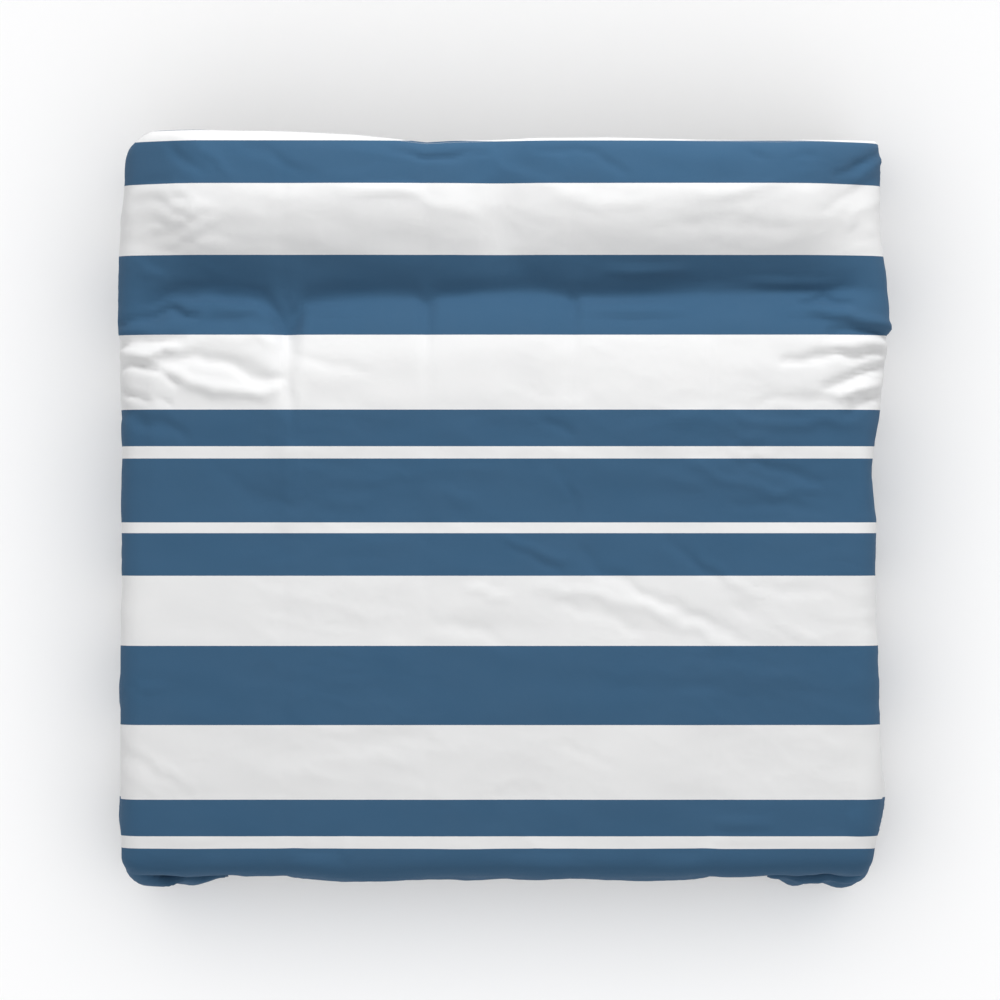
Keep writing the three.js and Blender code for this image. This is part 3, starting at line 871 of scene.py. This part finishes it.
headPull = [  # how far the head edge is drawn towards the foot, across the bed
    (-1.02, -0.004), (-0.88, 0.0), (-0.78, 0.0), (-0.6, -0.004), (-0.5, -0.008), (-0.38, -0.014),
    (-0.26, -0.026), (-0.19, -0.034), (-0.13, -0.030), (0.0, -0.023), (0.11, -0.020), (0.29, -0.020),
    (0.41, -0.024), (0.53, -0.028), (0.74, -0.029), (0.95, -0.024), (1.02, -0.020),
]


def sideStand(x, y):
    total = np.zeros(y.shape)
    for name, sign in (("left", -1), ("right", 1)):
        places, amounts = np.array(sideShape[name]).T
        fineY = np.linspace(-1.4, 1.0, 241)
        line = np.interp(fineY, places, amounts)
        kernel = np.hanning(9)
        line = np.convolve(np.pad(line, 4, mode="edge"), kernel / kernel.sum(), mode="valid")
        total = np.where(np.sign(x) == sign, np.interp(y, fineY, line), total)
    return total


loose = {  # how the hanging sides, the corners and the hems wander
    "sideWave": 0.008, "sideWaveSize": 0.30, "hemRise": 0.009, "footWave": 0.008,
    "cornerLump": 0.005, "cornerDroop": 0.055,
}


def middleSurface(u, v):
    points = baseSurface(u, v) + resampled(drapeMove, drapeU, drapeV, u, v)
    depth = np.maximum(0, np.abs(u) - foldX)
    footDepth = np.maximum(0, v - foldV)
    y = np.where(v <= foldV, alongBed(v)[0], foldY - 0.04)
    free = 1 - smooth(v, foldV - 0.12, foldV + 0.02)
    stand = sideStand(u, y) * smooth(depth, 0, 0.06) * (1 - 0.4 * smooth(depth, 0.1, 0.37))
    wave = smoothNoise(y, 0.25 * depth, loose["sideWaveSize"], 51)
    wave = wave + 0.5 * smoothNoise(y, 0.5 * depth, 0.12, 54)
    wave = loose["sideWave"] * wave * smooth(depth, 0.08, 0.37) * free
    points[..., 0] += np.sign(u) * (stand + wave)
    rise = loose["hemRise"] * smoothNoise(y, 0 * y, 0.42, 55) * smooth(depth, 0.1, 0.37) * free
    points[..., 2] += rise
    pulled = np.interp(u, *zip(*headPull)) * (1 - smooth(v, 0, 0.16))
    droop = loose["cornerDroop"] * smooth(-u, 0.90, 1.02) * (1 - smooth(v, 0, 0.3))
    points[..., 1] += pulled - droop
    swell = np.sin(math.pi * np.clip(footDepth / 0.28, 0, 1) ** 0.55)
    swell = swell * (1 - smooth(np.abs(u), 0.45, 0.6))
    points[..., 1] -= loose["footWave"] * (0.5 + 0.5 * smoothNoise(u, 0 * u, 0.4, 52)) * swell
    lump = smoothNoise(points[..., 0], points[..., 2], 0.10, 53)
    zipHem = smooth(v, duvet["length"] - 0.09, duvet["length"] - 0.03) * (1 - smooth(np.abs(u), 0.84, 0.94))
    atCorner = smooth(np.abs(u), 0.62, 0.72) * smooth(footDepth, 0.03, 0.10) * (1 - zipHem)
    points[..., 1] -= loose["cornerLump"] * lump * atCorner
    return points


def surfaceNormals(points):
    normal = np.cross(np.gradient(points, axis=1), np.gradient(points, axis=0))
    for _ in range(2):
        wide = np.pad(normal, ((1, 1), (1, 1), (0, 0)), mode="edge")
        normal = (wide[:-2, 1:-1] + wide[2:, 1:-1] + wide[1:-1, :-2] + wide[1:-1, 2:] + 2 * normal) / 6
    return normal / np.maximum(np.linalg.norm(normal, axis=-1, keepdims=True), 1e-12)


cover = {
    "step": 0.011,
    "backStep": 0.0112,
    "thickness": 0.0006,
    "leastShare": 0.3,  # a groove leaves this much of the loft
    "printOnTop": 0.1,  # before the foot's fold the print changes over this from place to cloth length
}

print("laying out the cover")
gridU, gridV = flatGrid(cover["step"])
flatU, flatV = crossed(gridU, gridV)
middle = middleSurface(flatU, flatV)
upward = surfaceNormals(middle)
plainLoft = coverLoft(flatU, flatV)
highHeight = np.maximum(plainLoft + coverRelief(flatU, flatV), cover["leastShare"] * plainLoft)
lowHeight = plainLoft + backRelief(flatU, flatV)


def onBed(u, v, share):
    height = np.where(share > 0, sample(highHeight, u, v), sample(lowHeight, u, v)) * share
    return sample(middle, u, v) + sample(upward, u, v) * height[..., None]


def atHeight(u, v, height):
    return sample(middle, u, v) + sample(upward, u, v) * np.broadcast_to(height, u.shape)[..., None]


def join(piece, slot, *nodes, body="duvet"):
    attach(piece, body)
    if nodes:
        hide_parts(*nodes)


def shadeSmooth(mesh):
    for polygon in mesh.polygons:
        polygon.use_smooth = True


def finishPiece(piece, finish, slot, node):
    piece.data.materials.append(finishes[finish])
    shadeSmooth(piece.data)
    join(piece, slot, node)


def addFlatMap(piece, u, v):
    layer = piece.data.uv_layers.new(name="cloth")
    corners = np.zeros(len(piece.data.loops), np.int32)
    piece.data.loops.foreach_get("vertex_index", corners)
    places = np.stack([u.ravel(), v.ravel()], axis=1)[corners % u.size]
    layer.data.foreach_set("uv", places.astype(np.float32).ravel())


def clothPiece(name, points, u, v, thickness, upSide=True):
    quads = gridQuads(*u.shape)
    piece = newPiece(name, points, quads if upSide else quads[:, ::-1])
    addFlatMap(piece, u, v)
    solid = piece.modifiers.new("thickness", "SOLIDIFY")
    solid.thickness = thickness
    solid.offset = -1
    return piece


def coverPanels():
    high = middle + upward * highHeight[..., None]
    face = clothPiece("cover_face_cloth", high, flatU, flatV, cover["thickness"])
    onTop = 1 - smooth(flatV, foldV - cover["printOnTop"], foldV)
    laid = np.where(flatV <= foldV, headY - alongBed(flatV)[0], headY - foldY + flatV - foldV)
    placed = headY - high[..., 1]
    printAt = np.minimum(laid + (placed - laid) * onTop, printed["lastBlue"])
    attribute = face.data.attributes.new("printAt", "FLOAT", "POINT")
    attribute.data.foreach_set("value", printAt.astype(np.float32).ravel())
    u, v = crossed(*flatGrid(cover["backStep"]))
    low = onBed(u, v, -np.ones(u.shape))
    back = clothPiece("cover_back_cloth", low, u, v, cover["thickness"], upSide=False)
    finishPiece(face, "print", "printed_cotton", "cover_face")
    finishPiece(back, "white", "white_cotton", "cover_back")


insert = {
    "edgeHalf": 0.0022,
    "share": 0.86,
    "foldedThin": 0.5,  # how much thinner it lies in the folded corners
    "crown": 0.06,
    "stitchHalf": 0.0016,
    "valley": 0.032,
    "step": 0.0112,
    "thickness": 0.0005,
    "roomReach": 2,  # cells of the cover's grid whose lowest loft it keeps under
}


def lowestAround(field, reach):
    padded = np.pad(field, reach, mode="edge")
    size = 2 * reach + 1
    rows = np.min([padded[k:k + field.shape[0]] for k in range(size)], axis=0)
    return np.min([rows[:, k:k + field.shape[1]] for k in range(size)], axis=0)


roomAbove = lowestAround(highHeight, insert["roomReach"])


def insertHeight(u, v, side):
    room = sample(roomAbove if side > 0 else lowHeight, u, v)
    room = room * (1 - insert["foldedThin"] * pressedFlat(u, v))
    crown = rounded(edgeDistance(u, v) - duvet["insertInset"], insert["crown"])
    fromColumn, fromRow = stitchDistance(u, v)
    near = bell(fromColumn, insert["valley"]) + bell(fromRow, insert["valley"])
    puff = 1 - np.clip(near, 0, 1)
    full = insert["stitchHalf"] + (insert["share"] * room - insert["stitchHalf"]) * puff
    return insert["edgeHalf"] * (1 - crown) + full * crown


def insertCasing():
    u, v = crossed(*flatGrid(insert["step"], duvet["insertInset"]))
    for node, side in (("insert_face", 1), ("insert_back", -1)):
        points = atHeight(u, v, side * insertHeight(u, v, side))
        piece = clothPiece(node + "_cloth", points, u, v, insert["thickness"], upSide=side > 0)
        finishPiece(piece, "casing", "casing_cotton", node)


def borderLine(inset, spacing):
    halfWidth = duvet["width"] / 2 - inset
    length = duvet["length"] - inset
    corners = [(-halfWidth, inset), (-halfWidth, length), (halfWidth, length), (halfWidth, inset)]
    line = []
    for (u0, v0), (u1, v1) in zip(corners, corners[1:] + corners[:1]):
        count = round(math.hypot(u1 - u0, v1 - v0) / spacing)
        share = np.arange(count)[:, None] / count
        line.append(np.array([[u0, v0]]) * (1 - share) + np.array([[u1, v1]]) * share)
    return np.concatenate(line)


binding = {"inset": 0.0195, "halfWidth": 0.0012, "halfHeight": 0.0030, "sides": 8, "spacing": 0.02}


def insertBinding():
    turns = np.arange(binding["sides"]) * 2 * math.pi / binding["sides"]
    rings = []
    for turn in turns:
        line = borderLine(binding["inset"] + binding["halfWidth"] * math.cos(turn), binding["spacing"])
        rings.append(atHeight(line[:, 0], line[:, 1], binding["halfHeight"] * math.sin(turn)))
    count = min(len(r) for r in rings)
    points = np.stack([r[:count] for r in rings], axis=0)
    sides = binding["sides"]
    quads = [
        [s * count + k, s * count + (k + 1) % count, (s + 1) % sides * count + (k + 1) % count,
         (s + 1) % sides * count + k]
        for s in range(sides) for k in range(count)
    ]
    piece = newPiece("insert_binding_tape", points, np.array(quads))
    addFlatMap(piece, points[..., 0], points[..., 1])
    outwards(piece)
    finishPiece(piece, "binding", "casing_cotton", "insert_binding")


def outwards(piece):
    shape = bmesh.new()
    shape.from_mesh(piece.data)
    bmesh.ops.recalc_face_normals(shape, faces=shape.faces)
    shape.to_mesh(piece.data)
    shape.free()


fill = {"margin": 0.006, "gap": 0.0014, "step": 0.026, "foldedStep": 0.0095, "edgeHalf": 0.0007, "edge": 0.03}


def fillPads():
    rim = duvet["insertInset"] + fill["margin"]
    for row in range(duvet["rows"]):
        for column in range(duvet["columns"]):
            left = max(column * columnWidth + fill["margin"], rim) - duvet["width"] / 2
            right = min((column + 1) * columnWidth - fill["margin"], duvet["width"] - rim)
            right = right - duvet["width"] / 2
            head = max(row * rowLength + fill["margin"], rim)
            foot = min((row + 1) * rowLength - fill["margin"], duvet["length"] - rim)
            folded = row == duvet["rows"] - 1 and column in (0, duvet["columns"] - 1)
            step = fill["foldedStep"] if folded else fill["step"]
            nu, nv = round((right - left) / step) + 1, round((foot - head) / step) + 1
            u, v = crossed(np.linspace(left, right, nu), np.linspace(head, foot, nv))
            own = np.minimum(np.minimum(u - left, right - u), np.minimum(v - head, foot - v))
            share = smooth(own, -0.001, fill["edge"])
            layers = []
            for side in (1, -1):
                room = np.maximum(insertHeight(u, v, side) - fill["gap"], fill["edgeHalf"])
                layers.append(atHeight(u, v, side * (fill["edgeHalf"] + (room - fill["edgeHalf"]) * share)))
            piece = closedPad(f"fill_r{row + 1}_c{column + 1}_pad", layers, nu, nv)
            finishPiece(piece, "wadding", "wadding", f"fill_r{row + 1}_c{column + 1}")


def closedPad(name, layers, nu, nv):
    quads = gridQuads(nu, nv)
    index = np.arange(nu * nv).reshape(nu, nv)
    rim = np.concatenate([index[:, 0], index[-1, 1:], index[-2::-1, -1], index[0, -2:0:-1]])
    after = np.roll(rim, -1)
    under = nu * nv
    walls = np.stack([rim, after, after + under, rim + under], axis=1)
    faces = np.concatenate([quads, quads[:, ::-1] + under, walls])
    piece = newPiece(name, np.stack(layers), faces)
    outwards(piece)
    return piece


tape = {
    "width": 0.012, "thickness": 0.0008, "tie": 0.10, "tieRipple": 0.0012, "loop": 0.024,
    "loopWidth": 0.010, "loopRipple": 0.0008, "border": 0.0163, "step": 0.0024, "wave": 0.045,
}


def tapeStrip(name, node, centreU, centreV, across, along, finish, slot, ripple):
    nu, nv = max(5, round(across / tape["step"])), max(5, round(along / tape["step"]))
    us = np.linspace(centreU - across / 2, centreU + across / 2, nu)
    vs = np.linspace(centreV - along / 2, centreV + along / 2, nv)
    u, v = crossed(us, vs)
    height = ripple * np.sin(2 * math.pi * (v - centreV) / tape["wave"])
    height = height * smooth(edgeDistance(u, v), 0, 0.012)
    piece = clothPiece(name, atHeight(u, v, height + tape["thickness"] / 2), u, v, tape["thickness"])
    finishPiece(piece, finish, slot, node)


def cornerTapes():
    for end, edge, inward in (("head", 0, 1), ("foot", duvet["length"], -1)):
        for side, sign in (("left", -1), ("right", 1)):
            tieU = sign * (duvet["width"] / 2 - tape["border"] + tape["width"] / 2)
            tieV = edge + inward * (tape["border"] - tape["width"] + tape["tie"] / 2)
            tapeStrip(
                f"tie_{end}_{side}_tape", f"tie_{end}_{side}", tieU, tieV, tape["width"], tape["tie"],
                "tape", "twill_tape", tape["tieRipple"],
            )
            loopU = sign * (duvet["width"] / 2 - duvet["insertInset"] - tape["width"] - tape["loop"] / 2)
            loopV = edge + inward * (tape["border"] - tape["loopWidth"] / 2)
            tapeStrip(
                f"loop_{end}_{side}_tape", f"loop_{end}_{side}", loopU, loopV, tape["loop"],
                tape["loopWidth"], "tape", "twill_tape", tape["loopRipple"],
            )


label = {"across": 0.034, "along": 0.013, "inset": 0.002, "ripple": 0.0002}


def careLabel():
    u = -(zipper["halfLength"] + zipper["margin"] + zipper["blend"] / 2)
    v = duvet["length"] - label["inset"] - label["along"] / 2
    tapeStrip(
        "care_label_ribbon", "care_label", u, v, label["across"], label["along"],
        "label", "label_satin", label["ripple"],
    )


# Rows of small pieces along a line: sewing stitches, and the turns of the zip's coils.

stitch = {
    "lift": 0.0002, "pitch": 0.0042, "length": 0.0028, "radius": 0.0003, "inset": 0.0065,
    "lineStep": 0.0037, "sides": 5, "quiltPitch": 0.006, "quiltLength": 0.004, "quiltInset": 0.004,
    "quiltStep": 0.02,
}
coilTurn = {
    "pitch": 0.0016, "radius": 0.00095, "wire": 0.00028, "loopSides": 9, "wireSides": 4,
    "endInset": 0.0005,
}


def rowTree(name, inputs, makeTurn):
    tree = bpy.data.node_groups.new(name, "GeometryNodeTree")
    sockets = [("Geometry", "INPUT", "Geometry"), *((title, "INPUT", "Float") for title in inputs)]
    sockets += [("Material", "INPUT", "Material"), ("Geometry", "OUTPUT", "Geometry")]
    for title, side, kind in sockets:
        tree.interface.new_socket(title, in_out=side, socket_type="NodeSocket" + kind)
    board = Board(tree)
    start = tree.nodes.new("NodeGroupInput")
    given = {title: Signal(board, start.outputs[title]) for title in ("Geometry", *inputs, "Material")}
    line = board.node("GeometryNodeMeshToCurve", {}, {"Mesh": given["Geometry"]})
    spacing = {"Curve": line, "Length": given["Pitch"]}
    spaced = board.node("GeometryNodeResampleCurve", {"mode": "LENGTH"}, spacing)
    tangent = board.node("GeometryNodeInputTangent")
    turned = board.node("FunctionNodeAlignEulerToVector", {"axis": "Z"}, {"Vector": tangent})
    turn = {"Points": spaced, "Instance": makeTurn(board, given), "Rotation": turned}
    copies = board.node("GeometryNodeInstanceOnPoints", {}, turn)
    real = board.node("GeometryNodeRealizeInstances", {}, {"Geometry": copies})
    painted = board.node("GeometryNodeSetMaterial", {}, {"Geometry": real, "Material": given["Material"]})
    board.feed(tree.nodes.new("NodeGroupOutput").inputs["Geometry"], painted)
    return tree


def stitchTurn(board, given):
    thread = {"Vertices": stitch["sides"], "Radius": given["Radius"], "Depth": given["Length"]}
    return board.node("GeometryNodeMeshCylinder", {}, thread)


def coilLoop(board, given):
    circle = "GeometryNodeCurvePrimitiveCircle"
    loop = board.node(circle, {}, {"Resolution": coilTurn["loopSides"], "Radius": given["Radius"]})
    wire = board.node(circle, {}, {"Resolution": coilTurn["wireSides"], "Radius": given["Wire"]})
    return board.node("GeometryNodeCurveToMesh", {}, {"Curve": loop, "Profile Curve": wire})


def rowAlong(name, line, closed, tree, values, finish):
    edges = [[k, k + 1] for k in range(len(line) - 1)]
    if closed:
        edges.append([len(line) - 1, 0])
    mesh = bpy.data.meshes.new(name + "_line")
    mesh.from_pydata([tuple(p) for p in line], edges, [])
    path = added(name + "_line", mesh)
    modifier = path.modifiers.new("row", "NODES")
    modifier.node_group = tree
    for item in tree.interface.items_tree:
        if item.in_out == "INPUT" and item.name in values:
            modifier[item.identifier] = values[item.name]
        if item.in_out == "INPUT" and item.name == "Material":
            modifier[item.identifier] = finishes[finish]
    bpy.context.view_layer.update()
    evaluated = path.evaluated_get(bpy.context.evaluated_depsgraph_get())
    made = bpy.data.meshes.new_from_object(evaluated)
    bpy.data.objects.remove(path)
    shadeSmooth(made)
    return added(name, made)


def seamStitches():
    inputs = {"Pitch": stitch["pitch"], "Length": stitch["length"], "Radius": stitch["radius"]}
    tree = rowTree("stitchRow", inputs, stitchTurn)
    line = borderLine(stitch["inset"], stitch["lineStep"])
    top = onBed(line[:, 0], line[:, 1], np.ones(len(line)))
    top += sample(upward, line[:, 0], line[:, 1]) * stitch["lift"]
    seam = rowAlong("cover_seam_stitches", top, True, tree, inputs, "thread")
    join(seam, "white_cotton")
    rim = duvet["insertInset"] + stitch["quiltInset"]
    quilting = {"Pitch": stitch["quiltPitch"], "Length": stitch["quiltLength"], "Radius": stitch["radius"]}
    rows = []
    for column in range(1, duvet["columns"]):
        v = np.arange(rim, duvet["length"] - rim, stitch["quiltStep"])
        rows.append((np.full(len(v), column * columnWidth - duvet["width"] / 2), v))
    for row in range(1, duvet["rows"]):
        u = np.arange(rim, duvet["width"] - rim, stitch["quiltStep"]) - duvet["width"] / 2
        rows.append((u, np.full(len(u), row * rowLength)))
    made = []
    for number, (u, v) in enumerate(rows):
        line = atHeight(u, v, insertHeight(u, v, 1) + stitch["lift"])
        made.append(rowAlong(f"quilting_{number}", line, False, tree, quilting, "thread"))
    quilted = joined(made, "insert_quilting_stitches")
    join(quilted, "casing_cotton")


def joined(pieces, name):
    shape = bmesh.new()
    for piece in pieces:
        shape.from_mesh(piece.data)
    mesh = pieces[0].data
    shape.to_mesh(mesh)
    shape.free()
    whole = pieces[0]
    for piece in pieces[1:]:
        bpy.data.objects.remove(piece)
    whole.name = name
    return whole


def zipCoils():
    inputs = {"Pitch": coilTurn["pitch"], "Radius": coilTurn["radius"], "Wire": coilTurn["wire"]}
    tree = rowTree("coilRow", inputs, coilLoop)
    for node in ("zip_coil_face", "zip_coil_back"):
        low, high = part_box(node)
        centre = (low + high) / 2
        inset = coilTurn["endInset"]
        ends = [(low.x + inset, centre.y, centre.z), (high.x - inset, centre.y, centre.z)]
        piece = rowAlong(node + "_turns", ends, False, tree, inputs, "coil")
        join(piece, "zip_nylon", node)


def softened(node, body, width, finish="nickel", slot="zip_metal"):
    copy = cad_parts[node].data.copy()
    shape = bmesh.new()
    shape.from_mesh(copy)
    bmesh.ops.remove_doubles(shape, verts=shape.verts, dist=1e-6)
    bmesh.ops.dissolve_limit(shape, angle_limit=math.radians(2), verts=shape.verts, edges=shape.edges)
    shape.to_mesh(copy)
    shape.free()
    copy.materials.clear()
    piece = added(node + "_made", copy)
    edge = piece.modifiers.new("softEdge", "BEVEL")
    edge.width = width
    edge.segments = 2
    edge.limit_method = "ANGLE"
    piece.data.materials.append(finishes[finish])
    join(piece, slot, node, body=body)


def zipPieces():
    zipCoils()
    metal = {"zip_slider": "slider", "zip_pull": "pull", "zip_stop_left": "duvet", "zip_stop_right": "duvet"}
    for node, body in metal.items():
        softened(node, body, zipper["softEdge"])
    for node in ("zip_tape_face", "zip_tape_back"):
        softened(node, "duvet", zipper["softEdge"], "zipTape", "zip_tape")


print("making the cover")
coverPanels()
print("making the insert")
insertCasing()
insertBinding()
fillPads()
print("making tapes and label")
cornerTapes()
careLabel()
print("making the zip and stitches")
zipPieces()
seamStitches()


# The studio: a pale floor under its own lamp, an even sky and one soft key lamp from the head end.

studio = {
    "floorZ": -0.386, "floorHalf": 30.0, "sky": 0.735, "keyWatts": 178.0, "keySize": 1.6,
    "keyPlace": (0.6, 3.9, 2.9), "floorWatts": 530.0, "floorLampSize": 14.0, "floorLampHeight": 9.0,
    "lens": 200.0, "frameWidth": 2.651, "aim": (0.004, -0.0848),
}


def makeFloor():
    half, z = studio["floorHalf"], studio["floorZ"]
    corners = np.array([(-half, -half, z), (half, -half, z), (half, half, z), (-half, half, z)], float)
    floor = newPiece("floor", corners, np.array([[0, 1, 2, 3]]))
    board = Finish("paleFloor")
    place = board.place()
    tone = board.mix(board.noise(place, 1.5, 2.0) * 0.2, colour(0.97, 0.97, 0.972), colour(0.96, 0.96, 0.96))
    floor.data.materials.append(board.finish(Base_Color=tone, Roughness=0.9, Specular_IOR_Level=0.1))
    return floor


def makeLamp(name, watts, size, place, lit):
    data = bpy.data.lights.new(name, "AREA")
    data.energy = watts
    data.size = size
    lamp = added(name, data)
    lamp.location = place
    lamp.rotation_euler = (-lamp.location).to_track_quat("-Z", "Y").to_euler()
    group = bpy.data.collections.new(name + "Lights")
    for piece in lit:
        group.objects.link(piece)
    lamp.light_linking.receiver_collection = group


def makeStudio():
    scene = bpy.context.scene
    pieces = [piece for piece in scene.objects if piece.type == "MESH"]
    floor = makeFloor()
    scene.view_settings.view_transform = "Standard"
    world = bpy.data.worlds.new("studio")
    scene.world = world
    world.use_nodes = True
    sky = world.node_tree.nodes["Background"]
    sky.inputs["Color"].default_value = (1, 1, 1, 1)
    sky.inputs["Strength"].default_value = studio["sky"]
    makeLamp("key", studio["keyWatts"], studio["keySize"], studio["keyPlace"], pieces)
    above = (0, 0, studio["floorLampHeight"])
    makeLamp("floorLamp", studio["floorWatts"], studio["floorLampSize"], above, [floor])
    lens = bpy.data.cameras.new("camera")
    lens.lens = studio["lens"]
    camera = added("camera", lens)
    camera.location = (*studio["aim"], studio["frameWidth"] * studio["lens"] / lens.sensor_width)
    lens.clip_end = 100
    scene.camera = camera


print("setting the studio")
makeStudio()
